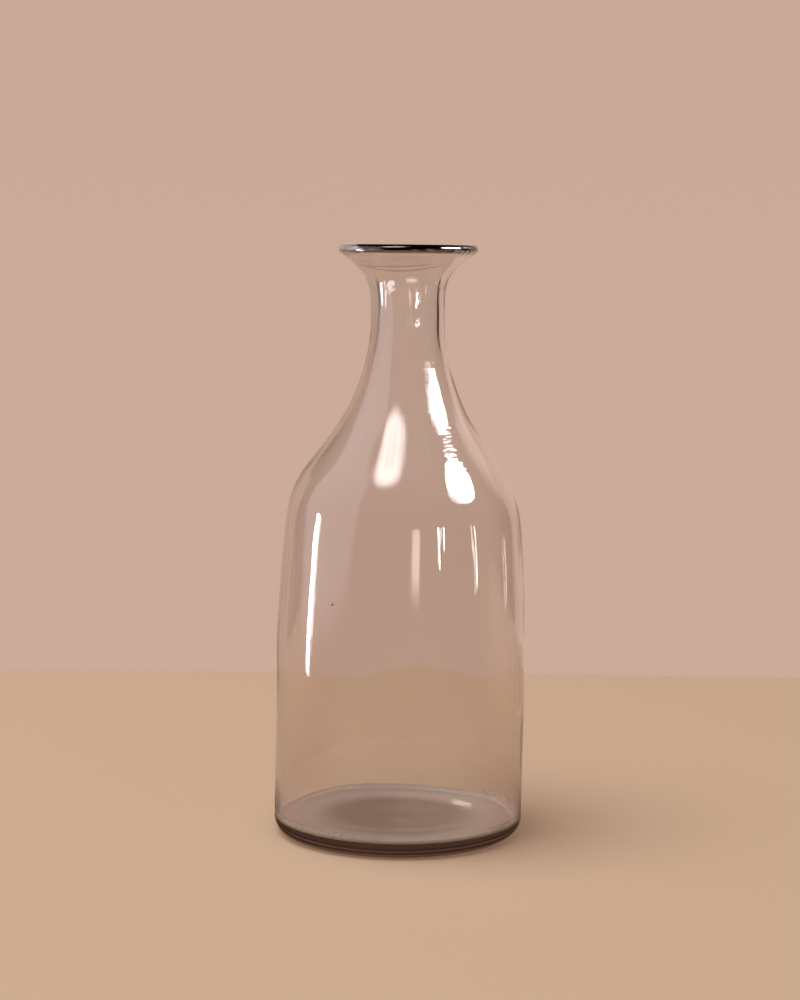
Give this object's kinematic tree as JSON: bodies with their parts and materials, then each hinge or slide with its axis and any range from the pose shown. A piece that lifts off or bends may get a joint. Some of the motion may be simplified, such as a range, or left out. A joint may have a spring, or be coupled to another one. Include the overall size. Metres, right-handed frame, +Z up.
{
  "type": "wine decanter",
  "caption": "Clear blown-glass wine decanter with a thick flat base, straight-sided body, sloping shoulder, narrow neck and flared mouth with a rounded lip.",
  "frame": {"origin": "centre of the circle that the decanter stands on", "axes": "+Z up along the decanter's axis, from the base to the mouth; the decanter is turned, so +X and +Y are equal"},
  "size_m": [0.1128, 0.1128, 0.2667],
  "materials": {
    "base_glass": "clear, slightly grey where thick, worn and hazy on the floor and heel",
    "body_glass": "clear, hand-blown, faint ripples and seeds",
    "lip_glass": "clear, fire-polished"
  },
  "bodies": {
    "root": {"base": "base_glass", "body": "body_glass", "lip_ring": "lip_glass"}
  },
  "joints": []
}
